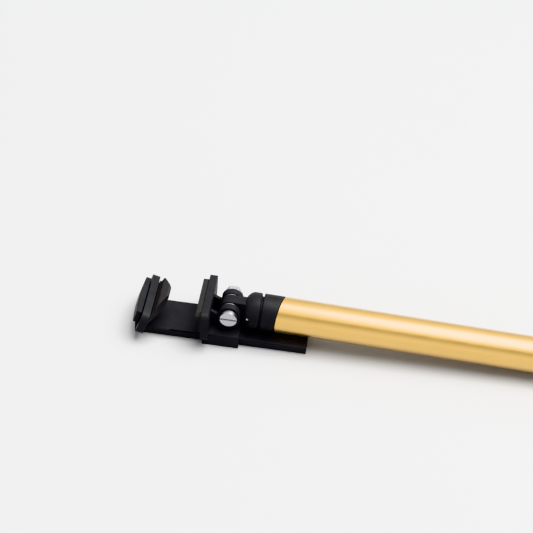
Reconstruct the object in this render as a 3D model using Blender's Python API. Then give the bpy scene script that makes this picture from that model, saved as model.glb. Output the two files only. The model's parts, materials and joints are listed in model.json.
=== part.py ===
"""A pocket selfie stick: a five-section telescopic stick with a folding, sprung phone clamp.

The model stands as it is stored and laid on a table: the clamp's rail lies flat, folded under the
stick, and the stick slopes down to rest on its tail. X runs along the stick towards the tail,
Z is up. Shapes are worked out in millimetres, and MM turns them into Blender's metres.
"""

import math

import bmesh
import bpy
from mathutils import Vector

MM = 0.001
FIT = 0.15  # gap between pieces that touch
GLIDE = 0.1  # gap round a tube or bush that slides

# Stick. Distances along it run from the tilt hinge towards the tail.
TUBE_R = 6.0
TUBE_WALL = 0.5
TAIL_END = 141.0
TAIL_PLUG_LENGTH = 5.0
TAIL_CHAMFER = 0.8
COLLAR_START = 10.45
SLEEVE_START = 16.4
SLEEVE_SLANT = math.radians(13)  # the sleeve's mouth is cut askew, seen from above
COLLAR_SPIGOT = 4.0
SECTION_R = (4.9, 3.9, 2.9, 1.9)
SECTION_WALL = 0.4
SECTION_TRAVEL = 100.0
SECTION_LIP = 1.5
FIRST_SECTION_FRONT = 9.4
FIRST_SECTION_REAR = 132.0
NEST_STEP = 0.6
REAR_STEP = 1.2
HEAD_BACK = 9.75
HEAD_RECESS = 7.3
HEAD_FRONT = 4.6
ROD_FRONT = 4.9
HEAD_PIN_AT = 6.1
HEAD_PIN_R = 0.5

# Tilt hinge
HINGE_X = 28.0  # from the far jaw's foot
HINGE_Z = 10.46
KNUCKLE_R = 3.6
TONGUE_HALF = 1.9
WASHER = 0.4
EAR = 2.2
BOLT_R = 1.5
BOLT_HEAD_R = 2.8
BOLT_HEAD = 1.6
NUT_R = 3.1
NUT = 2.2
WASHER_R = 3.3

# Clamp rail, carriage and slider
RAIL_START = 1.0
RAIL_END = 54.3
RAIL_FOOT = 6.7  # half width at the table; the sides lean out from there to RAIL_HALF
RAIL_HALF = 7.2
RAIL_H = 3.2
RAIL_CHAMFER = 0.4
RAIL_ROOF = 0.7
SEAT = (9.2, 16.8)  # ends of the phone's seat, a shallow recess across the rail
SEAT_DEEP = 0.3
CARRIAGE_FRONT = 19.5
CARRIAGE_REAR = 32.0
CARRIAGE_WALL = 1.0
CARRIAGE_GAP = 0.2
CARRIAGE_PLATE = 1.5
RAIL_TRAVEL = 20.0
STOP = (24.0, 26.0)  # ends of the carriage's stop boss, which runs in a slot along the rail
STOP_HALF = 1.0
STOP_SLOT_DEEP = 0.35
JAW_TRAVEL = 34.0
SLIDER_LOW = 1.0
SLIDER_HIGH = 2.2
SLIDER_HALF = 4.1
SLIDER_BARB = 4.7
SLIDER_END = 47.5
BARB_LENGTH = 2.0
FORK_START = 28.0
FORK_HALF = 1.15
COVER_PLATE = 0.5
SCREW_Y = 2.4  # both pairs of small screws stand this far from the middle
COVER_SCREW_R = 0.5
COVER_SCREW_HEAD_R = 0.95
JAW_SCREW_R = 0.6
JAW_SCREW_HEAD_R = 1.25
JAW_SCREW_UP = 5.2

# Jaws
NEAR_JAW = 2.5
NEAR_JAW_HALF = 11.0
NEAR_JAW_TOP = 14.4
JAW_LEAN = math.radians(16.5)
JAW_FOOT = (0.4, 2.2)  # X and Z of the foot of the far jaw's inner face
JAW_THICK = 2.5
JAW_HALF = 11.5
JAW_TALL = 8.8
JAW_CORNER = 3.2
TAB_OUT = 1.75
TAB_IN = 0.75
TAB_TALL = 7.0
COVER_HALF = 8.5
COVER_EDGE = 4.4
COVER_CROWN = 4.9
COVER_LOW = 2.6
COVER_HIGH = 7.8

# Spring between slider and rail
SPRING_Z = 1.6
SPRING_R = 0.62
WIRE_R = 0.14
COILS = 14
PIN_R = 0.4
SLIDER_PIN_X = 29.4
RAIL_PIN_X = 49.3

ROUND = 48
SMALL_ROUND = 20


def clear_scene():
    for item in list(bpy.data.objects):
        bpy.data.objects.remove(item, do_unlink=True)


def material(name, colour, roughness, metallic=0.0):
    made = bpy.data.materials.new(name)
    made.use_nodes = True
    shader = made.node_tree.nodes["Principled BSDF"]
    shader.inputs["Base Color"].default_value = (*colour, 1.0)
    shader.inputs["Roughness"].default_value = roughness
    shader.inputs["Metallic"].default_value = metallic
    return made


def empty(name, x, z, tilt=0.0, parent=None):
    made = bpy.data.objects.new(name, None)
    made.location = (x * MM, 0, z * MM)
    made.rotation_euler = (0, tilt, 0)
    made.parent = parent
    bpy.context.collection.objects.link(made)
    return made


def to_object(name, bm, finish, parent):
    """Makes an object of a mesh in millimetres. One without a finish is only a guide."""
    bmesh.ops.remove_doubles(bm, verts=bm.verts, dist=1e-5)
    bmesh.ops.recalc_face_normals(bm, faces=bm.faces)
    bmesh.ops.scale(bm, vec=(MM, MM, MM), verts=bm.verts)
    mesh = bpy.data.meshes.new(name)
    bm.to_mesh(mesh)
    bm.free()
    mesh.shade_smooth()
    mesh.set_sharp_from_angle(angle=math.radians(30))
    made = bpy.data.objects.new(name, mesh)
    made.parent = parent
    bpy.context.collection.objects.link(made)
    if finish:
        mesh.materials.append(finish)
    else:
        made.hide_render = True
        made.display_type = "WIRE"
    return made


def turned(name, profile, finish, parent, closed=True, steps=ROUND, slant_at=None):
    """Spins (distance, radius) points about X. slant_at is the distance whose edge is cut askew."""
    bm = bmesh.new()
    points = [bm.verts.new((along, radius, 0)) for along, radius in profile]
    edges = [bm.edges.new(pair) for pair in zip(points, points[1:])]
    if closed:
        edges.append(bm.edges.new((points[-1], points[0])))
    bmesh.ops.spin(bm, geom=points + edges, cent=(0, 0, 0), axis=(1, 0, 0), dvec=(0, 0, 0),
                   angle=math.tau, steps=steps, use_merge=True)
    if slant_at is not None:
        for vert in bm.verts:
            if abs(vert.co.x - slant_at) < 1e-4:
                vert.co.x += math.tan(SLEEVE_SLANT) * vert.co.y
    return to_object(name, bm, finish, parent)


def prism(name, outline, low, high, plane, finish, parent):
    """Extrudes an outline in the plane XY, XZ or YZ from low to high along the third axis."""
    place = {
        "XY": lambda a, b, c: (a, b, c),
        "XZ": lambda a, b, c: (a, c, b),
        "YZ": lambda a, b, c: (c, a, b),
    }[plane]
    bm = bmesh.new()
    base = [bm.verts.new(place(a, b, low)) for a, b in outline]
    face = bm.faces.new(base)
    grown = bmesh.ops.extrude_face_region(bm, geom=[face])
    risen = [item for item in grown["geom"] if isinstance(item, bmesh.types.BMVert)]
    shift = Vector(place(0, 0, high)) - Vector(place(0, 0, low))
    bmesh.ops.translate(bm, vec=shift, verts=risen)
    return to_object(name, bm, finish, parent)


def block(name, low, high, finish, parent):
    outline = [(low[0], low[1]), (high[0], low[1]), (high[0], high[1]), (low[0], high[1])]
    return prism(name, outline, low[2], high[2], "XY", finish, parent)


def pin(name, centre, radius, low, high, axis, finish, parent, steps=SMALL_ROUND):
    """A round bar along the axis X, Y or Z; centre is its place in the other two."""
    outline = [(centre[0] + radius * math.cos(math.tau * i / steps),
                centre[1] + radius * math.sin(math.tau * i / steps)) for i in range(steps)]
    plane = {"X": "YZ", "Y": "XZ", "Z": "XY"}[axis]
    return prism(name, outline, low, high, plane, finish, parent)


def combine(target, tool, operation):
    """Joins, cuts or meets the target with a tool, which is then only a guide."""
    step = target.modifiers.new(operation.lower() + "_" + tool.name, "BOOLEAN")
    step.operation = operation
    step.object = tool
    step.solver = "EXACT"
    tool.hide_render = True
    tool.display_type = "WIRE"


def cut(target, *tools):
    for tool in tools:
        combine(target, tool, "DIFFERENCE")


def join(target, *tools):
    for tool in tools:
        combine(target, tool, "UNION")


def rounded_outline(half, low, high, radius, steps=6):
    """A rectangle of the given half width, with round corners."""
    corners = ((half, high, 0), (-half, high, 90), (-half, low, 180), (half, low, 270))
    points = []
    for x, z, start in corners:
        centre_x = x - math.copysign(radius, x)
        centre_z = z - radius if z == high else z + radius
        for i in range(steps + 1):
            turn = math.radians(start + 90 * i / steps)
            points.append((centre_x + radius * math.cos(turn), centre_z + radius * math.sin(turn)))
    return points


def leaning(across, up):
    """X and Z of a point in the far jaw's own axes: across its inner face, and up along it."""
    return (JAW_FOOT[0] + across * math.cos(JAW_LEAN) + up * math.sin(JAW_LEAN),
            JAW_FOOT[1] - across * math.sin(JAW_LEAN) + up * math.cos(JAW_LEAN))


def stick_slope():
    """The slope at which the stick's tail touches the table with the hinge at its height."""
    reach = TAIL_END - TAIL_CHAMFER
    return math.asin(HINGE_Z / math.hypot(reach, TUBE_R)) - math.atan2(TUBE_R, reach)


def foot_x():
    """X of the far jaw's foot that puts the origin under the middle of the whole length."""
    slope = stick_slope()
    far_end = leaning(-COVER_CROWN, COVER_LOW)[0]
    tail = HINGE_X + TAIL_END * math.cos(slope) + (TUBE_R - TAIL_CHAMFER) * math.sin(slope)
    return -(far_end + tail) / 2


# ---------------------------------------------------------------- stick


def handle(stick, gold, black):
    inner = TUBE_R - TUBE_WALL
    plug = TAIL_END - TAIL_PLUG_LENGTH
    turned("handle_tube",
           [(SLEEVE_START + FIT, inner), (SLEEVE_START + FIT, TUBE_R),
            (plug - FIT, TUBE_R), (plug - FIT, inner)],
           gold, stick, slant_at=SLEEVE_START + FIT)
    bore = SECTION_R[0] + GLIDE
    turned("front_collar",
           [(COLLAR_START, bore), (COLLAR_START, TUBE_R - 0.3), (COLLAR_START + 0.3, TUBE_R),
            (SLEEVE_START, TUBE_R), (SLEEVE_START, inner - FIT),
            (SLEEVE_START + COLLAR_SPIGOT, inner - FIT), (SLEEVE_START + COLLAR_SPIGOT, bore)],
           black, stick, slant_at=SLEEVE_START)
    turned("tail_plug",
           [(plug - 3, 0), (plug - 3, inner - FIT), (plug, inner - FIT), (plug, TUBE_R),
            (TAIL_END - TAIL_CHAMFER, TUBE_R), (TAIL_END, TUBE_R - TAIL_CHAMFER), (TAIL_END, 0)],
           black, stick, closed=False)


def section(index, stick, metal, nylon):
    """One sliding tube, with a rolled lip at its front and a bush round its rear end."""
    outer = SECTION_R[index]
    inner = outer - SECTION_WALL
    last = index == len(SECTION_R) - 1
    around = TUBE_R - TUBE_WALL if index == 0 else SECTION_R[index - 1] - SECTION_WALL
    front = ROD_FRONT if last else FIRST_SECTION_FRONT - NEST_STEP * index
    rear = FIRST_SECTION_REAR - REAR_STEP * index
    stop = SLEEVE_START + COLLAR_SPIGOT
    if index:
        stop = FIRST_SECTION_FRONT - NEST_STEP * (index - 1) + SECTION_LIP
    lip = inner if last else SECTION_R[index + 1] + GLIDE
    name = f"section_tube_{index + 2}"
    profile = [(front, lip), (front, outer), (rear - 1, outer), (rear - 1, inner)]
    if not last:
        profile += [(front + SECTION_LIP, inner), (front + SECTION_LIP, lip)]
    turned(name, profile, metal, stick, steps=36)
    bush_front = stop + SECTION_TRAVEL + FIT
    turned(f"section_bush_{index + 2}",
           [(bush_front, outer + GLIDE), (bush_front, around - GLIDE), (rear, around - GLIDE),
            (rear, inner), (rear - 1 + FIT, inner), (rear - 1 + FIT, outer + GLIDE)],
           nylon, stick, steps=36)


def head(stick, black, metal):
    """The collar that closes the stick, with a tongue for the tilt hinge."""
    body = turned("head",
                  [(HEAD_FRONT, 0), (HEAD_FRONT, 3.4), (HEAD_FRONT + 0.6, 4.6),
                   (HEAD_FRONT + 1.6, 5.6), (HEAD_FRONT + 2.6, TUBE_R), (HEAD_BACK - 0.3, TUBE_R),
                   (HEAD_BACK, TUBE_R - 0.3), (HEAD_BACK, 5.3), (HEAD_RECESS, 5.3),
                   (HEAD_RECESS, 0)],
                  black, stick, closed=False)
    steps = 14
    turns = [math.pi / 2 + math.pi * i / steps for i in range(steps + 1)]
    outline = [(KNUCKLE_R * math.cos(a), KNUCKLE_R * math.sin(a)) for a in turns]
    outline += [(HEAD_FRONT + 1, -KNUCKLE_R), (HEAD_FRONT + 1, KNUCKLE_R)]
    join(body, prism("head_tongue", outline, -TONGUE_HALF, TONGUE_HALF, "XZ", None, stick))
    rod_hole = pin("head_rod_hole", (0, 0), SECTION_R[-1] + FIT, ROD_FRONT - FIT,
                   HEAD_BACK, "X", None, stick, 28)
    bolt_hole = pin("head_bolt_hole", (0, 0), BOLT_R + FIT, -8, 8, "Y", None, stick, 28)
    pin_hole = pin("head_pin_hole", (HEAD_PIN_AT, 0), HEAD_PIN_R + FIT, -8, 8, "Y", None, stick)
    cut(body, rod_hole, bolt_hole, pin_hole)
    pin("head_pin", (HEAD_PIN_AT, 0), HEAD_PIN_R, -5.0, 5.0, "Y", metal, stick)
    rod = bpy.data.objects[f"section_tube_{len(SECTION_R) + 1}"]
    cut(rod, pin("rod_pin_hole", (HEAD_PIN_AT, 0), HEAD_PIN_R + FIT, -8, 8, "Y", None, stick))


def tilt_hardware(clamp, steel):
    """Bolt, nut and the two friction washers; centred on the hinge."""
    centre = (HINGE_X, HINGE_Z)
    ear_out = TONGUE_HALF + FIT + WASHER + FIT + EAR
    bolt = pin("tilt_bolt", centre, BOLT_R, -ear_out - 0.5, ear_out + NUT + 0.3, "Y", steel,
               clamp, 28)
    join(bolt, pin("tilt_bolt_head", centre, BOLT_HEAD_R, -ear_out - FIT - BOLT_HEAD,
                   -ear_out - FIT, "Y", None, clamp, 28))
    slot = block("tilt_bolt_slot", (HINGE_X - 4, -ear_out - 3, HINGE_Z - 0.35),
                 (HINGE_X + 4, -ear_out - FIT - 0.9, HINGE_Z + 0.35), None, clamp)
    cut(bolt, slot)
    nut = pin("tilt_nut", centre, NUT_R, ear_out + FIT, ear_out + FIT + NUT, "Y", steel, clamp, 6)
    cut(nut, pin("tilt_nut_bore", centre, BOLT_R + FIT, 0, 20, "Y", None, clamp, 28))
    for side, label in ((-1, "near"), (1, "far")):
        inner = side * (TONGUE_HALF + FIT)
        outer = side * (TONGUE_HALF + FIT + WASHER)
        washer = pin(f"friction_washer_{label}", centre, WASHER_R, min(inner, outer),
                     max(inner, outer), "Y", steel, clamp, 28)
        cut(washer, pin(f"washer_bore_{label}", centre, BOLT_R + FIT, -8, 8, "Y", None, clamp, 28))


# ---------------------------------------------------------------- clamp


def carriage(clamp, black, rubber):
    """Saddle that clasps the rail's leaning sides; it carries the near jaw and the hinge's ears."""
    inner = RAIL_HALF + CARRIAGE_GAP
    outer = inner + CARRIAGE_WALL
    roof = RAIL_H + CARRIAGE_GAP
    top = roof + CARRIAGE_PLATE
    half = [(inner, roof), (inner, RAIL_H - RAIL_CHAMFER), (RAIL_FOOT + CARRIAGE_GAP, 0),
            (outer, 0), (outer, top)]
    saddle_outline = half + [(-y, z) for y, z in reversed(half)]
    body = prism("clamp_carriage", saddle_outline, CARRIAGE_FRONT + 0.5, CARRIAGE_REAR, "YZ",
                 black, clamp)
    stop = block("carriage_stop", (STOP[0], -STOP_HALF, RAIL_H - STOP_SLOT_DEEP + FIT),
                 (STOP[1], STOP_HALF, roof + 0.5), None, clamp)
    jaw_back = CARRIAGE_FRONT + NEAR_JAW
    wall = prism("near_jaw_wall", rounded_outline(NEAR_JAW_HALF, roof, NEAR_JAW_TOP, 2.0),
                 CARRIAGE_FRONT, jaw_back, "YZ", None, clamp)
    round_off = prism("near_jaw_corner",
                      [(jaw_back + 1, NEAR_JAW_TOP - 1.4), (jaw_back + 1, NEAR_JAW_TOP + 1),
                       (jaw_back - 1.4, NEAR_JAW_TOP + 1)],
                      -20, 20, "XZ", None, clamp)
    ears = []
    ear_in = TONGUE_HALF + 2 * FIT + WASHER
    steps = 14
    turns = [math.pi * i / steps for i in range(steps + 1)]
    outline = [(HINGE_X + KNUCKLE_R * math.cos(a), HINGE_Z + KNUCKLE_R * math.sin(a))
               for a in turns]
    outline += [(HINGE_X - KNUCKLE_R, top - 1), (HINGE_X + KNUCKLE_R, top - 1)]
    for side in (-1, 1):
        low, high = sorted((side * ear_in, side * (ear_in + EAR)))
        ears.append(prism(f"ear_{side}", outline, low, high, "XZ", None, clamp))
        rib_low, rib_high = sorted((side * (ear_in + 0.4), side * (ear_in + 1.6)))
        rib_outline = [(jaw_back - 0.5, top - 1), (HINGE_X - 2.5, top - 1),
                       (HINGE_X - 2.5, HINGE_Z - 1), (jaw_back - 0.5, NEAR_JAW_TOP - 3)]
        ears.append(prism(f"rib_{side}", rib_outline, rib_low, rib_high, "XZ", None, clamp))
    join(body, wall, stop, *ears)
    cut(body, round_off,
        pin("ear_bolt_hole", (HINGE_X, HINGE_Z), BOLT_R + FIT, -12, 12, "Y", None, clamp, 28))
    face = CARRIAGE_FRONT - FIT
    pad_outline = [(face, 4.6), (face, 13.9), (face - 1.8, 13.4), (face - 1.95, 12.3),
                   (face - 0.7, 10.6), (face - 0.7, 4.9)]
    prism("near_jaw_pad", pad_outline, -9.2, 9.2, "XZ", rubber, clamp)


def rail(clamp, black, steel):
    """Inverted channel with leaning sides for the carriage, and a shouldered way for the slider."""
    half = [(RAIL_FOOT, 0), (RAIL_HALF, RAIL_H - RAIL_CHAMFER), (RAIL_HALF - RAIL_CHAMFER, RAIL_H)]
    outline = half + [(-y, z) for y, z in reversed(half)]
    body = prism("clamp_rail", outline, RAIL_START, RAIL_END, "YZ", black, clamp)
    roof = RAIL_H - RAIL_ROOF
    shoulder = SLIDER_END - BARB_LENGTH - JAW_TRAVEL - 0.2
    way_end = RAIL_PIN_X + 1.2
    cut(body,
        block("rail_way", (-2, -SLIDER_HALF - 0.2, -1), (way_end, SLIDER_HALF + 0.2, roof),
              None, clamp),
        block("rail_wide_way", (shoulder, -SLIDER_BARB - 0.2, -1),
              (way_end, SLIDER_BARB + 0.2, roof), None, clamp),
        block("cover_recess", (way_end - 1, -SLIDER_HALF - 0.2, -1),
              (RAIL_END - 0.9, SLIDER_HALF + 0.2, COVER_PLATE + 0.2), None, clamp),
        block("phone_seat", (SEAT[0], -RAIL_HALF - 1, RAIL_H - SEAT_DEEP),
              (SEAT[1], RAIL_HALF + 1, RAIL_H + 1), None, clamp),
        block("stop_slot", (STOP[0] - 0.2, -STOP_HALF - 0.2, RAIL_H - STOP_SLOT_DEEP),
              (STOP[1] + RAIL_TRAVEL + 0.2, STOP_HALF + 0.2, RAIL_H + 1), None, clamp),
        pin("rail_pin_hole", (RAIL_PIN_X, SPRING_Z), PIN_R + FIT, -5.7, 5.7, "Y", None, clamp))
    pin("rail_spring_pin", (RAIL_PIN_X, SPRING_Z), PIN_R, -5.5, 5.5, "Y", steel, clamp)
    plate = block("rail_cover", (4, -SLIDER_HALF, 0), (RAIL_END - 1.1, SLIDER_HALF, COVER_PLATE),
                  black, clamp)
    screw_x = RAIL_END - 2.3
    for label, y in (("near", -SCREW_Y), ("far", SCREW_Y)):
        place = (screw_x, y)
        hole = pin(f"cover_screw_hole_{label}", place, COVER_SCREW_R + FIT, -1, 2.2, "Z", None,
                   clamp)
        sink = pin(f"cover_screw_sink_{label}", place, COVER_SCREW_HEAD_R + FIT, -1, 0.3 + FIT,
                   "Z", None, clamp)
        cut(plate, hole, sink)
        cut(body, pin(f"rail_screw_hole_{label}", place, COVER_SCREW_R + FIT, -1, 2.2, "Z", None,
                      clamp))
        screw = pin(f"cover_screw_{label}", place, COVER_SCREW_R, 0.1, 2.0, "Z", steel, clamp)
        join(screw, pin(f"cover_screw_head_{label}", place, COVER_SCREW_HEAD_R, 0.0, 0.3, "Z",
                        None, clamp))


def slider(clamp, steel):
    """Bent strip: a leaning tab that carries the far jaw, and a fork that holds the spring."""
    foot_out = (JAW_FOOT[1] + TAB_OUT * math.sin(JAW_LEAN) - SLIDER_LOW) / math.cos(JAW_LEAN)
    foot_in = (JAW_FOOT[1] + TAB_IN * math.sin(JAW_LEAN) - SLIDER_HIGH) / math.cos(JAW_LEAN)
    outline = [(SLIDER_END, SLIDER_LOW), leaning(-TAB_OUT, -foot_out),
               leaning(-TAB_OUT, TAB_TALL), leaning(-TAB_IN, TAB_TALL),
               leaning(-TAB_IN, -foot_in), (SLIDER_END, SLIDER_HIGH)]
    strip = prism("jaw_slider", outline, -SLIDER_HALF, SLIDER_HALF, "XZ", steel, clamp)
    barbs = block("slider_barbs", (SLIDER_END - BARB_LENGTH, -SLIDER_BARB, SLIDER_LOW),
                  (SLIDER_END, SLIDER_BARB, SLIDER_HIGH), None, clamp)
    join(strip, barbs)
    cut(strip,
        block("fork_slot", (FORK_START, -FORK_HALF, 0), (SLIDER_END + 2, FORK_HALF, 3), None,
              clamp),
        pin("slider_pin_hole", (SLIDER_PIN_X, SPRING_Z), PIN_R + 0.08, -2.6, 2.6, "Y", None,
            clamp))
    pin("slider_spring_pin", (SLIDER_PIN_X, SPRING_Z), PIN_R, -2.45, 2.45, "Y", steel, clamp)
    return strip


def far_jaw(clamp, lean, strip, black, steel, rubber):
    body = prism("far_jaw", rounded_outline(JAW_HALF, 0, JAW_TALL, JAW_CORNER), -JAW_THICK, 0,
                 "YZ", black, lean)
    foot = block("far_jaw_foot", (-2.6, -RAIL_FOOT, 0), (RAIL_START - 0.2, RAIL_FOOT, 4.4), None,
                 clamp)
    gap = FIT
    mortise = prism("far_jaw_mortise",
                    [(2, SLIDER_LOW - gap), leaning(-TAB_OUT - gap, -1.95),
                     leaning(-TAB_OUT - gap, TAB_TALL + gap), leaning(-TAB_IN + gap, TAB_TALL + gap),
                     leaning(-TAB_IN + gap, 0), (2, SLIDER_HIGH + gap)],
                    -SLIDER_HALF - gap, SLIDER_HALF + gap, "XZ", None, clamp)
    join(body, foot)
    cut(body, mortise)
    for label, y in (("near", -SCREW_Y), ("far", SCREW_Y)):
        place = (y, JAW_SCREW_UP)
        cut(body, pin(f"jaw_screw_sink_{label}", place, JAW_SCREW_HEAD_R + FIT, -TAB_IN, 1, "X",
                      None, lean),
            pin(f"jaw_screw_hole_{label}", place, JAW_SCREW_R + FIT, -2.3, 0, "X", None, lean))
        cut(strip, pin(f"tab_hole_{label}", place, JAW_SCREW_R + FIT, -3, 1, "X", None, lean))
        screw = pin(f"jaw_screw_{label}", place, JAW_SCREW_R, -2.1, -0.3, "X", steel, lean)
        join(screw, pin(f"jaw_screw_head_{label}", place, JAW_SCREW_HEAD_R, -0.6, -0.1, "X", None,
                        lean))
    crown = []
    steps = 10
    for i in range(steps + 1):
        across = -1 + 2 * i / steps
        crown.append((-COVER_CROWN + (COVER_CROWN - COVER_EDGE) * across ** 2,
                      COVER_HALF * across))
    crown += [(-JAW_THICK - FIT, COVER_HALF), (-JAW_THICK - FIT, -COVER_HALF)]
    prism("far_jaw_cover", crown, COVER_LOW, COVER_HIGH, "XY", black, lean)
    pad_profile = [leaning(FIT, 1.4), leaning(FIT, JAW_TALL + 0.1), (5.2, 12.9), (7.6, 14.0),
                   (8.1, 13.6), (8.1, 12.6), (7.2, 10.9), (4.6, 8.6), (2.5, 6.9), (1.5, 5.0),
                   (1.15, 3.6)]
    pad = prism("far_jaw_pad", pad_profile, -12, 12, "XZ", rubber, clamp)
    plan = [(-1, -9.4), (1.6, -9.3), (3.4, -8.3), (5.2, -6.8), (8.5, -1.8), (8.5, 1.8),
            (5.2, 6.8), (3.4, 8.3), (1.6, 9.3), (-1, 9.4)]
    combine(pad, prism("far_jaw_pad_plan", plan, 0, 20, "XY", None, clamp), "INTERSECT")


def spring(clamp, steel):
    """Extension spring: a loop round each pin, and a close helix between them."""
    loop_r = PIN_R + WIRE_R + 0.1
    start = SLIDER_PIN_X + 1.6
    end = RAIL_PIN_X - 1.6
    points = []
    for i in range(9):
        turn = math.radians(-70 - 290 * (1 - i / 8))
        points.append((SLIDER_PIN_X + loop_r * math.cos(turn), 0,
                       SPRING_Z + loop_r * math.sin(turn)))
    steps = 8
    for i in range(COILS * steps + 1):
        turn = math.tau * i / steps - math.pi / 2
        along = i / (COILS * steps)
        points.append((start + (end - start) * along, SPRING_R * math.cos(turn),
                       SPRING_Z + SPRING_R * math.sin(turn)))
    for i in range(9):
        turn = math.radians(250 - 290 * i / 8)
        points.append((RAIL_PIN_X + loop_r * math.cos(turn), 0,
                       SPRING_Z + loop_r * math.sin(turn)))
    curve = bpy.data.curves.new("clamp_spring", "CURVE")
    curve.dimensions = "3D"
    curve.bevel_depth = WIRE_R * MM
    curve.bevel_resolution = 0
    curve.use_fill_caps = True
    line = curve.splines.new("POLY")
    line.points.add(len(points) - 1)
    for point, place in zip(line.points, points):
        point.co = (*(value * MM for value in place), 1)
    curve.materials.append(steel)
    made = bpy.data.objects.new("clamp_spring", curve)
    made.parent = clamp
    bpy.context.collection.objects.link(made)


def main():
    clear_scene()
    gold = material("gold_anodised", (0.78, 0.50, 0.16), 0.32, 1.0)
    black = material("black_plastic", (0.012, 0.012, 0.014), 0.5)
    rubber = material("black_rubber", (0.02, 0.018, 0.018), 0.75)
    nylon = material("white_nylon", (0.75, 0.74, 0.70), 0.5)
    bright = material("bright_tube", (0.66, 0.66, 0.68), 0.22, 1.0)
    steel = material("steel", (0.5, 0.5, 0.52), 0.35, 1.0)
    clamp = empty("clamp", foot_x(), 0)
    stick = empty("stick", foot_x() + HINGE_X, HINGE_Z, stick_slope())
    lean = empty("far_jaw_lean", *JAW_FOOT, JAW_LEAN, clamp)
    handle(stick, gold, black)
    for index in range(len(SECTION_R)):
        section(index, stick, bright, nylon)
    head(stick, black, steel)
    tilt_hardware(clamp, steel)
    carriage(clamp, black, rubber)
    rail(clamp, black, steel)
    strip = slider(clamp, steel)
    far_jaw(clamp, lean, strip, black, steel, rubber)
    spring(clamp, steel)


main()
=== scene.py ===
"""The selfie stick's looks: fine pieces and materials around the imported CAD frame.

The sleeve, collar, cap, ferrule and tubes are turned about the stick's axis, X in STICK_FRAME,
from profiles in metres that start from their CAD nodes' measures. The rubber lips are outlines in
millimetres in CLAMP_FRAME. Every other piece is a cleaned copy of its CAD node with rounded edges,
apart from the spring, which stays the CAD node.
"""

import json
import math

import bmesh
import bpy
from mathutils import Matrix, Vector


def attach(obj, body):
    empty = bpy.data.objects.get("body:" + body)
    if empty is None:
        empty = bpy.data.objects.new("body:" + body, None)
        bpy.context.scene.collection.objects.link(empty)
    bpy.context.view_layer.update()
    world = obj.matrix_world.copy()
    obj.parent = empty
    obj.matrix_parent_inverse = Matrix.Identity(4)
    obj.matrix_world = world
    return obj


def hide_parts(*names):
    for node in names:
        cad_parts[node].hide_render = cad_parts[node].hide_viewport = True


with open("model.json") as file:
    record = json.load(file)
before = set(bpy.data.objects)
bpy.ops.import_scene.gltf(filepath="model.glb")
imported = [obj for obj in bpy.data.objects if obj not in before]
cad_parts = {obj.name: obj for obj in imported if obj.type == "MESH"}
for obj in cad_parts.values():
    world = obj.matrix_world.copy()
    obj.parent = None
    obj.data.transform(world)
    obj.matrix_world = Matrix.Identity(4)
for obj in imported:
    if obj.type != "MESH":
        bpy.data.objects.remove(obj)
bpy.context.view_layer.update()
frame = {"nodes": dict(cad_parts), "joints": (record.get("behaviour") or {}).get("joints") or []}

MM = 0.001
JOINTS = {joint["name"]: joint for joint in frame["joints"]}
HINGE = Vector(JOINTS["clamp_tilt"]["pos_m"])
STICK = -Vector(JOINTS["section_2_slide"]["axis"]).normalized()
SLOPE = math.asin(-STICK.z)
STICK_FRAME = Matrix.Translation(HINGE) @ Matrix.Rotation(SLOPE, 4, "Y")
HINGE_FROM_FOOT = 28.0 * MM
CLAMP_FRAME = Matrix.Translation((HINGE.x - HINGE_FROM_FOOT, 0, 0))  # starts at the far jaw's foot

ROUND = 128
TUBE_ROUND = 96
CORNER_STEPS = 4
CORNER_SHARE = 0.45  # the most of an edge that a rounded corner takes
EDGE_ANGLE = 28  # degrees: sharper edges than this are rounded
SHARP_ANGLE = 35  # degrees: sharper edges than this are shaded sharp
FLAT_ANGLE = 1.0  # degrees: faces that meet flatter than this become one
WELD = 1e-7  # corners this near each other are joined, and twenty times this on a CAD copy
CAD_WELD = 20 * WELD
TINY = 1e-9
RIM_DEPTH = 0.05 * MM  # corners this near the largest radius are on the outside

# Turned pieces
SPIGOT_STEP = 0.65 * MM  # how far the collar's and the cap's spigots lie below their outsides
FERRULE = 1.6 * MM
FERRULE_GAP = 0.05 * MM
TUBE_WALL = 0.4 * MM
ROLL_BEAD = 0.25 * MM  # a rolled lip: how far its edge turns in, and where its parts end
ROLL_SHOULDER = 0.35 * MM
ROLL_LIP = 1.2 * MM
ROLL_END = 1.6 * MM

# Studio: the bands are (degrees over the stick from the front horizon, brightness)
SKY_BANDS = ((0, 1.25), (20, 1.0), (31, 0.75), (39, 0.36), (48, 0.36), (58, 0.8), (75, 1.0),
             (130, 1.0), (148, 0.8), (180, 0.7))
SKY_STRENGTH = 2.0
SOFTBOX_PLACE = Vector((0.76, 0.30, 2.34))
SOFTBOX_TARGET = Vector((0.10, 0, 0))
SOFTBOX_SIZE = (2.1, 2.25)
SOFTBOX_POWER = 138.0
FLOOR_HALF = 9.0
FLOOR_DROP = 0.05 * MM
CAMERA_PLACE = (-0.02077, -0.35068, 0.34004)
CAMERA_AZIMUTH, CAMERA_ELEVATION, CAMERA_ROLL = (math.radians(a) for a in (3.84, 41.43, 5.08))
CAMERA_LENS = 99.3

# A colour mix node's sockets
MIX_SHARE, MIX_FIRST, MIX_SECOND = 0, 6, 7
MIX_RESULT = 2


# ---------------------------------------------------------------- measuring the frame


def points_of(node):
    """The CAD node's corners in the stick's own frame."""
    back = STICK_FRAME.inverted()
    return [back @ vert.co for vert in frame["nodes"][node].data.vertices]


def span(node):
    """A CAD node's front and rear ends along the stick, and its smallest and largest radius."""
    points = points_of(node)
    along = [p.x for p in points]
    radii = [math.hypot(p.y, p.z) for p in points]
    return min(along), max(along), min(radii), max(radii)


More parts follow.
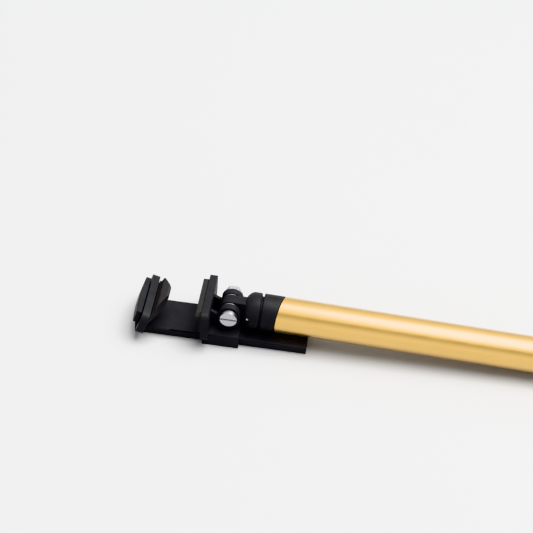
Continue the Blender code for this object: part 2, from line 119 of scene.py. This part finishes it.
def askew_edge(node, at_rear):
    """The middle and the slope of the edge that is cut askew, at a node's rear or its front."""
    points = points_of(node)
    radius = max(math.hypot(p.y, p.z) for p in points)
    rim = [p.x for p in points if math.hypot(p.y, p.z) > radius - RIM_DEPTH]
    halfway = sum(rim) / len(rim)
    edge = [x for x in rim if (x > halfway) == at_rear]
    return (min(edge) + max(edge)) / 2, (max(edge) - min(edge)) / (2 * radius)


# ---------------------------------------------------------------- materials


def maths(tree, operation, *values):
    """A math node's result, from numbers and other nodes' outputs."""
    made = tree.nodes.new("ShaderNodeMath")
    made.operation = operation
    for socket, value in zip(made.inputs, values):
        if isinstance(value, bpy.types.NodeSocket):
            tree.links.new(value, socket)
        else:
            socket.default_value = value
    return made.outputs["Value"]


class Shader:
    """A Principled material under construction, with short calls for the nodes used here."""

    def __init__(self, name, colour, roughness, metallic=0.0):
        self.material = bpy.data.materials.new(name)
        self.material.use_nodes = True
        self.tree = self.material.node_tree
        self.out = self.tree.nodes["Principled BSDF"]
        self.set("Base Color", (*colour, 1.0))
        self.set("Roughness", roughness)
        self.set("Metallic", metallic)
        self.colour = colour
        self.roughness = roughness
        self.where = self.node("ShaderNodeTexCoord").outputs["Object"]

    def set(self, socket, value):
        self.out.inputs[socket].default_value = value

    def node(self, kind, **settings):
        made = self.tree.nodes.new(kind)
        for key, value in settings.items():
            setattr(made, key, value)
        return made

    def link(self, source, target):
        self.tree.links.new(source, target)

    def stretched(self, scale):
        """Object coordinates stretched along the axes."""
        mapping = self.node("ShaderNodeMapping")
        mapping.inputs["Scale"].default_value = scale
        self.link(self.where, mapping.inputs["Vector"])
        return mapping.outputs["Vector"]

    def noise(self, scale, detail, where=None):
        made = self.node("ShaderNodeTexNoise")
        made.inputs["Scale"].default_value = scale
        made.inputs["Detail"].default_value = detail
        self.link(where or self.where, made.inputs["Vector"])
        return made.outputs["Fac"]

    def spread(self, value, low, high, start=0.3, end=0.7):
        """Maps start..end of a value to low..high."""
        made = self.node("ShaderNodeMapRange")
        made.inputs["From Min"].default_value = start
        made.inputs["From Max"].default_value = end
        made.inputs["To Min"].default_value = low
        made.inputs["To Max"].default_value = high
        self.link(value, made.inputs["Value"])
        return made.outputs["Result"]

    def vary_colour(self, value, other):
        """Mixes from the base colour to another by a value of 0 to 1."""
        made = self.node("ShaderNodeMix", data_type="RGBA")
        made.inputs[MIX_FIRST].default_value = (*self.colour, 1.0)
        made.inputs[MIX_SECOND].default_value = (*other, 1.0)
        self.link(value, made.inputs[MIX_SHARE])
        self.link(made.outputs[MIX_RESULT], self.out.inputs["Base Color"])
        return made.outputs[MIX_RESULT]

    def vary_roughness(self, value, amount):
        self.link(self.spread(value, self.roughness - amount, self.roughness + amount),
                  self.out.inputs["Roughness"])

    def bump(self, *layers):
        """Stacks bumps, each a (height, depth in mm) pair."""
        normal = None
        for height, depth in layers:
            made = self.node("ShaderNodeBump")
            made.inputs["Strength"].default_value = 1.0
            made.inputs["Distance"].default_value = depth * MM
            self.link(height, made.inputs["Height"])
            if normal:
                self.link(normal, made.inputs["Normal"])
            normal = made.outputs["Normal"]
        self.link(normal, self.out.inputs["Normal"])

    def worn_edges(self, base, colour, radius=0.25, strength=0.6):
        """Lightens edges a little in patches, as handling does. The radius is in mm."""
        bevel = self.node("ShaderNodeBevel", samples=4)
        bevel.inputs["Radius"].default_value = radius * MM
        plain = self.node("ShaderNodeNewGeometry")
        turn = self.node("ShaderNodeVectorMath", operation="DOT_PRODUCT")
        self.link(bevel.outputs["Normal"], turn.inputs[0])
        self.link(plain.outputs["Normal"], turn.inputs[1])
        edge = self.spread(turn.outputs["Value"], strength, 0.0, 0.80, 0.99)
        patches = self.spread(self.noise(900, 3), 0.3, 1.0)
        made = self.node("ShaderNodeMix", data_type="RGBA")
        self.link(maths(self.tree, "MULTIPLY", edge, patches), made.inputs[MIX_SHARE])
        self.link(base, made.inputs[MIX_FIRST])
        made.inputs[MIX_SECOND].default_value = (*colour, 1.0)
        self.link(made.outputs[MIX_RESULT], self.out.inputs["Base Color"])


def gold_anodised():
    """Dyed, sealed aluminium: a fine blasted grain and drawing lines under a clear skin."""
    look = Shader("gold_anodised", (0.81, 0.500, 0.128), 0.33, 1.0)
    look.vary_colour(look.spread(look.noise(55, 3), 0.0, 1.0), (0.77, 0.465, 0.112))
    look.vary_roughness(look.noise(140, 4), 0.03)
    look.set("Coat Weight", 1.0)
    look.set("Coat Roughness", 0.24)
    look.set("Coat IOR", 1.7)
    grain = look.noise(9000, 2)
    drawn = look.noise(1.0, 3, look.stretched((60, 5200, 5200)))
    look.bump((grain, 0.0034), (drawn, 0.0024))
    return look.material


def black_plastic():
    """Moulded plastic with a fine spark-eroded texture."""
    look = Shader("black_plastic", (0.0140, 0.0140, 0.0152), 0.50)
    base = look.vary_colour(look.spread(look.noise(260, 3), 0.0, 1.0), (0.0185, 0.0185, 0.0202))
    look.worn_edges(base, (0.038, 0.038, 0.041))
    look.vary_roughness(look.noise(420, 3), 0.07)
    look.set("Specular IOR Level", 0.13)
    look.bump((look.noise(4200, 3), 0.022), (look.noise(900, 2), 0.014))
    return look.material


def jaw_rubber():
    """Soft black rubber, a little warmer and duller than the plastic."""
    look = Shader("jaw_rubber", (0.0160, 0.0150, 0.0152), 0.66)
    base = look.vary_colour(look.spread(look.noise(380, 4), 0.0, 1.0), (0.0215, 0.0198, 0.0198))
    look.worn_edges(base, (0.038, 0.035, 0.0345), radius=0.3, strength=0.5)
    look.vary_roughness(look.noise(600, 2), 0.08)
    look.set("Specular IOR Level", 0.28)
    look.bump((look.noise(3600, 4), 0.014))
    return look.material


def bright_tube():
    """Drawn stainless tube, polished round and lightly scratched along."""
    look = Shader("bright_tube", (0.70, 0.70, 0.71), 0.16, 1.0)
    look.vary_colour(look.spread(look.noise(90, 3), 0.0, 1.0), (0.62, 0.62, 0.635))
    look.vary_roughness(look.noise(1.0, 3, look.stretched((900, 30, 30))), 0.05)
    look.bump((look.noise(1.0, 3, look.stretched((30, 6000, 6000))), 0.0012),
              (look.noise(1.0, 2, look.stretched((4200, 60, 60))), 0.0010))
    return look.material


def nylon():
    """Natural nylon, a little translucent."""
    look = Shader("nylon", (0.78, 0.76, 0.71), 0.45)
    look.vary_colour(look.spread(look.noise(500, 3), 0.0, 1.0), (0.70, 0.68, 0.62))
    look.vary_roughness(look.noise(800, 2), 0.06)
    look.set("Subsurface Weight", 0.15)
    look.set("Subsurface Scale", 0.6 * MM)
    look.bump((look.noise(2500, 2), 0.006))
    return look.material


def plated_steel():
    """Zinc-plated steel: a soft crystalline mottle."""
    look = Shader("plated_steel", (0.56, 0.56, 0.575), 0.32, 1.0)
    cell = look.node("ShaderNodeTexVoronoi")
    cell.inputs["Scale"].default_value = 1500
    look.link(look.where, cell.inputs["Vector"])
    look.vary_colour(look.spread(cell.outputs["Distance"], 0.0, 1.0, 0.0, 0.8),
                     (0.51, 0.51, 0.52))
    look.vary_roughness(look.noise(700, 3), 0.05)
    look.bump((look.noise(2600, 3), 0.004))
    return look.material


# ---------------------------------------------------------------- building pieces


def to_piece(name, bm, finish, place=None, sharp=SHARP_ANGLE):
    """Makes an object of a mesh, moved to its place, with edges over the angle kept sharp."""
    bmesh.ops.remove_doubles(bm, verts=bm.verts, dist=WELD)
    bmesh.ops.recalc_face_normals(bm, faces=bm.faces)
    if place:
        bmesh.ops.transform(bm, matrix=place, verts=bm.verts)
    mesh = bpy.data.meshes.new(name)
    bm.to_mesh(mesh)
    bm.free()
    mesh.shade_smooth()
    mesh.set_sharp_from_angle(angle=math.radians(sharp))
    mesh.materials.append(finish)
    made = bpy.data.objects.new(name, mesh)
    bpy.context.collection.objects.link(made)
    return made


def softened(profile, radius, closed=True):
    """Rounds each corner of a profile, but not the ends of an open one or a point on its axis."""
    count = len(profile)
    made = []
    for i, point in enumerate(profile):
        here = Vector(point)
        if not closed and i in (0, count - 1):
            made.append(here)
            continue
        before = Vector(profile[i - 1]) - here
        after = Vector(profile[(i + 1) % count]) - here
        reach = min(radius, CORNER_SHARE * before.length, CORNER_SHARE * after.length)
        if here.y < TINY or reach < TINY:
            made.append(here)
            continue
        start = here + before.normalized() * reach
        end = here + after.normalized() * reach
        for k in range(CORNER_STEPS + 1):
            t = k / CORNER_STEPS
            made.append((1 - t) ** 2 * start + 2 * t * (1 - t) * here + t ** 2 * end)
    return made


def turned(name, profile, finish, closed=True, steps=ROUND, skew=None):
    """Spins (along, radius) points about the stick's axis.

    skew is (where, reach, slope): points near where are sheared by slope times Y, as far as
    reach to each side."""
    bm = bmesh.new()
    points = [bm.verts.new((along, radius, 0)) for along, radius in profile]
    edges = [bm.edges.new(pair) for pair in zip(points, points[1:])]
    if closed:
        edges.append(bm.edges.new((points[-1], points[0])))
    bmesh.ops.spin(bm, geom=points + edges, cent=(0, 0, 0), axis=(1, 0, 0), dvec=(0, 0, 0),
                   angle=math.tau, steps=steps, use_merge=True)
    if skew:
        where, reach, slope = skew
        for vert in bm.verts:
            if abs(vert.co.x - where) < reach:
                vert.co.x += slope * vert.co.y
    return to_piece(name, bm, finish, STICK_FRAME)


def round_edges(made, width, segments):
    """Bevels a piece's edges by a width in mm."""
    soften = made.modifiers.new("soften", "BEVEL")
    soften.width = width * MM
    soften.segments = segments
    soften.limit_method = "ANGLE"
    soften.angle_limit = math.radians(EDGE_ANGLE)
    soften.use_clamp_overlap = True


def trimmed_prism(name, outline, half, planes, finish, width):
    """Extrudes an outline in XZ across Y, trims it with (point, normal) planes, all in mm, and
    rounds its edges."""
    bm = bmesh.new()
    side = bm.faces.new([bm.verts.new((x, -half, z)) for x, z in outline])
    grown = bmesh.ops.extrude_face_region(bm, geom=[side])
    far = [item for item in grown["geom"] if isinstance(item, bmesh.types.BMVert)]
    bmesh.ops.translate(bm, vec=(0, 2 * half, 0), verts=far)
    for point, normal in planes:
        bmesh.ops.bisect_plane(bm, geom=bm.verts[:] + bm.edges[:] + bm.faces[:], plane_co=point,
                               plane_no=normal, clear_outer=True)
        bmesh.ops.holes_fill(bm, edges=[edge for edge in bm.edges if edge.is_boundary])
    made = to_piece(name, bm, finish, CLAMP_FRAME @ Matrix.Scale(MM, 4), sharp=EDGE_ANGLE)
    round_edges(made, width, 3)
    return made


def refined(node, name, finish, width, segments=3):
    """A copy of a CAD node with its flat faces made whole and its edges rounded."""
    bm = bmesh.new()
    bm.from_mesh(frame["nodes"][node].data)
    bmesh.ops.remove_doubles(bm, verts=bm.verts, dist=CAD_WELD)
    bmesh.ops.dissolve_limit(bm, angle_limit=math.radians(FLAT_ANGLE), verts=bm.verts,
                             edges=bm.edges)
    made = to_piece(name, bm, finish, sharp=EDGE_ANGLE)
    round_edges(made, width, segments)
    return made


def place_piece(piece, body, slot, *nodes):
    """Puts a piece on its body and hides the CAD nodes that it stands for. The slot is not used."""
    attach(piece, body)
    if nodes:
        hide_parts(*nodes)


# ---------------------------------------------------------------- pieces


def sleeve(gold):
    """The gold tube. What is near its mouth follows the askew cut."""
    near = 0.4 * MM
    mouth, slope = askew_edge("handle_tube", at_rear=False)
    _, rear, bore, radius = span("handle_tube")
    profile = softened([(mouth, bore), (mouth, radius), (rear, radius), (rear, bore)],
                       radius=0.16 * MM)
    piece = turned("gold_sleeve", profile, gold, skew=(mouth, near, slope))
    place_piece(piece, "handle", "gold_sleeve", "handle_tube")


def collar(black):
    """The ring at the sleeve's mouth, cut to match, with a spigot inside the sleeve."""
    near = 0.5 * MM
    seam, slope = askew_edge("front_collar", at_rear=True)
    front, rear, bore, radius = span("front_collar")
    spigot = radius - SPIGOT_STEP
    profile = softened([(front, bore), (front, radius), (seam, radius), (seam, spigot),
                        (rear, spigot), (rear, bore)], radius=0.28 * MM)
    piece = turned("neck_collar", profile, black, skew=(seam, near, slope))
    place_piece(piece, "handle", "black_plastic", "front_collar")


def end_cap(black):
    """Tail plug with two fine grip grooves and a dished end."""
    front, rear, _, radius = span("tail_plug")
    spigot = radius - SPIGOT_STEP
    spigot_length = 3 * MM
    shoulder = front + spigot_length
    profile = [(front, 0), (front, spigot), (shoulder, spigot), (shoulder, radius)]
    groove = 0.22 * MM
    for behind_shoulder in (1.3, 2.3):
        at = shoulder + behind_shoulder * MM
        profile += [(at - groove, radius), (at - groove * 0.5, radius - groove),
                    (at + groove * 0.5, radius - groove), (at + groove, radius)]
    rim = ((0.8, 0.0), (0.25, 0.3), (0.0, 0.9), (0.0, 1.6), (0.35, 2.1))  # mm from end and side
    profile += [(rear - from_end * MM, radius - from_side * MM) for from_end, from_side in rim]
    dish = profile[-1][0]
    profile.append((dish, 0))
    profile = softened(profile, radius=0.14 * MM, closed=False)
    piece = turned("tail_cap", profile, black, closed=False)
    place_piece(piece, "handle", "black_plastic", "tail_plug")


def telescope(metal, white, black):
    """Sliding tubes with rolled lips, a ferrule on the widest, and the bushes at their rear."""
    for number, body in enumerate(("section_2", "section_3", "section_4", "head"), 2):
        node = f"section_tube_{number}"
        front, rear, lip, radius = span(node)
        inner = radius - TUBE_WALL
        if body in ("section_3", "section_4"):
            profile = [(front, lip), (front, radius - ROLL_BEAD), (front + ROLL_SHOULDER, radius),
                       (rear, radius), (rear, inner), (front + ROLL_END, inner),
                       (front + ROLL_LIP, lip)]
        else:
            if body == "section_2":
                back = front + FERRULE
                ring = softened([(front, lip), (front, radius), (back, radius), (back, lip)],
                                radius=0.2 * MM)
                place_piece(turned("front_ferrule", ring, black), body, "black_plastic")
                front = back + FERRULE_GAP
            profile = [(front, inner), (front, radius), (rear, radius), (rear, inner)]
        profile = softened(profile, radius=0.12 * MM)
        piece = turned(f"bright_tube_{number}", profile, metal, steps=TUBE_ROUND)
        place_piece(piece, body, "bright_tube", node)
        bush = f"section_bush_{number}"
        piece = refined(bush, f"guide_bush_{number}", white, 0.06, 2)
        place_piece(piece, body, "nylon", bush)


def neck(black, steel):
    """The stick's head, and the pin that fixes it on the innermost tube."""
    place_piece(refined("head", "neck_head", black, 0.18), "head", "black_plastic", "head")
    place_piece(refined("head_pin", "neck_pin", steel, 0.08, 2), "head", "steel", "head_pin")


def clamp(black, steel):
    """The clamp's hard pieces: each with its body, its slot and how round its edges are."""
    finishes = {"black_plastic": black, "steel": steel}
    rows = (
        ("clamp_carriage", "carriage", "black_plastic", 0.28),
        ("tilt_bolt", "carriage", "steel", 0.16),
        ("tilt_nut", "carriage", "steel", 0.16),
        ("friction_washer_near", "carriage", "steel", 0.05),
        ("friction_washer_far", "carriage", "steel", 0.05),
        ("clamp_rail", "rail", "black_plastic", 0.16),
        ("rail_cover", "rail", "black_plastic", 0.08),
        ("cover_screw_near", "rail", "steel", 0.05),
        ("cover_screw_far", "rail", "steel", 0.05),
        ("rail_spring_pin", "rail", "steel", 0.05),
        ("jaw_slider", "jaw", "steel", 0.10),
        ("far_jaw", "jaw", "black_plastic", 0.32),
        ("far_jaw_cover", "jaw", "black_plastic", 0.28),
        ("jaw_screw_near", "jaw", "steel", 0.05),
        ("jaw_screw_far", "jaw", "steel", 0.05),
        ("slider_spring_pin", "jaw", "steel", 0.05),
    )
    for node, body, slot, width in rows:
        piece = refined(node, node + "_fine", finishes[slot], width)
        place_piece(piece, body, slot, node)


def far_lip(rubber):
    """Rubber that lines the far jaw and hooks over the phone, narrower towards its tip.

    The outline runs up the jaw's leaning face, dips behind it, climbs to the tip and comes back
    along the scoop that holds the phone's edge. The plan is one side of its shape from above."""
    outline = [(0.99, 3.45), (2.95, 9.85), (3.55, 10.1), (4.7, 12.9), (7.1, 14.0), (7.7, 13.6),
               (7.7, 12.6), (6.9, 10.9), (4.6, 8.6), (2.5, 6.9), (1.5, 5.0), (1.3, 3.45)]
    plan = [(7.7, 2.0), (5.0, 6.8), (3.4, 8.3), (1.6, 9.3), (-1.0, 9.4)]
    half = 10
    planes = []
    for (x, y), (next_x, next_y) in zip(plan, plan[1:]):
        for side in (-1, 1):
            planes.append(((x, side * y, 0), (next_y - y, side * (x - next_x), 0)))
    piece = trimmed_prism("far_lip", softened(outline, radius=0.7), half, planes, rubber, width=0.3)
    place_piece(piece, "jaw", "jaw_rubber", "far_jaw_pad")


def near_lip(rubber):
    """Rubber face of the near jaw, with grip grooves below its overhanging lip."""
    back, face = 19.35, 18.65
    low, top = 4.6, 13.9
    first_groove, pitch, groove_half, groove_deep = 5.9, 0.95, 0.25, 0.28
    grooves = []
    for step in range(5):
        middle = first_groove + pitch * step
        grooves += [(face, middle - groove_half), (face + groove_deep, middle),
                    (face, middle + groove_half)]
    lip = [(face, 10.6), (17.4, 12.3), (17.55, 13.4), (back, top)]
    outline = [(back, low), (face, 4.9)] + grooves + lip
    half, corner = 9.2, 1.2
    planes = [((0, side * (half - corner), z), (0, side, up))
              for side in (-1, 1) for z, up in ((top, 1), (low, -1))]
    piece = trimmed_prism("near_lip", softened(outline, radius=0.22), half, planes, rubber,
                          width=0.12)
    place_piece(piece, "carriage", "jaw_rubber", "near_jaw_pad")


def finish_spring(steel):
    """The spring stays the CAD node, because it stretches with the jaw."""
    spring = frame["nodes"]["clamp_spring"]
    spring.data.materials.clear()
    spring.data.materials.append(steel)


# ---------------------------------------------------------------- studio


def floor():
    """A plain pale table top."""
    bm = bmesh.new()
    bmesh.ops.create_grid(bm, x_segments=1, y_segments=1, size=FLOOR_HALF)
    look = Shader("table_top", (0.395, 0.395, 0.395), 0.6)
    look.vary_colour(look.spread(look.noise(3, 2), 0.0, 1.0), (0.385, 0.385, 0.39))
    made = to_piece("table", bm, look.material)
    made.location.z = -FLOOR_DROP


def sky():
    """Soft studio surroundings, in bands that run along the stick from horizon to horizon."""
    world = bpy.data.worlds.new("studio")
    bpy.context.scene.world = world
    world.use_nodes = True
    tree = world.node_tree
    where = tree.nodes.new("ShaderNodeTexCoord").outputs["Generated"]
    parts = tree.nodes.new("ShaderNodeSeparateXYZ")
    tree.links.new(where, parts.inputs["Vector"])
    front = maths(tree, "MULTIPLY", parts.outputs["Y"], -1.0)
    angle = maths(tree, "ARCTAN2", parts.outputs["Z"], front)
    ramp = tree.nodes.new("ShaderNodeValToRGB")
    tree.links.new(maths(tree, "DIVIDE", angle, math.pi), ramp.inputs["Fac"])
    for degrees, _ in SKY_BANDS[1:-1]:
        ramp.color_ramp.elements.new(degrees / 180)
    for element, (_, brightness) in zip(ramp.color_ramp.elements, SKY_BANDS):
        grey = brightness / SKY_STRENGTH
        element.color = (grey, grey, grey, 1)
    glow = tree.nodes["Background"]
    glow.inputs["Strength"].default_value = SKY_STRENGTH
    tree.links.new(ramp.outputs["Color"], glow.inputs["Color"])


def softbox():
    """One large soft light, high up past the tail."""
    light = bpy.data.lights.new("softbox", "AREA")
    light.shape = "RECTANGLE"
    light.size, light.size_y = SOFTBOX_SIZE
    light.energy = SOFTBOX_POWER
    made = bpy.data.objects.new("softbox", light)
    bpy.context.collection.objects.link(made)
    made.location = SOFTBOX_PLACE
    made.rotation_euler = (SOFTBOX_TARGET - SOFTBOX_PLACE).to_track_quat("-Z", "Y").to_euler()
    made.visible_camera = False


def camera():
    """Looks down across the stick from its front side, with a long lens."""
    lens = bpy.data.cameras.new("camera")
    lens.lens = CAMERA_LENS
    lens.sensor_width = 36.0
    lens.clip_start = 0.01
    lens.clip_end = 20.0
    made = bpy.data.objects.new("camera", lens)
    bpy.context.collection.objects.link(made)
    made.matrix_world = (Matrix.Translation(CAMERA_PLACE)
                         @ Matrix.Rotation(CAMERA_AZIMUTH, 4, "Z")
                         @ Matrix.Rotation(math.pi / 2 - CAMERA_ELEVATION, 4, "X")
                         @ Matrix.Rotation(CAMERA_ROLL, 4, "Z"))
    bpy.context.scene.camera = made


def main():
    bpy.context.scene.view_settings.view_transform = "Khronos PBR Neutral"
    bpy.context.scene.view_settings.gamma = 1.1
    black = black_plastic()
    rubber = jaw_rubber()
    steel = plated_steel()
    sleeve(gold_anodised())
    collar(black)
    end_cap(black)
    telescope(bright_tube(), nylon(), black)
    neck(black, steel)
    clamp(black, steel)
    far_lip(rubber)
    near_lip(rubber)
    finish_spring(steel)
    floor()
    sky()
    softbox()
    camera()


main()
bpy.context.view_layer.update()
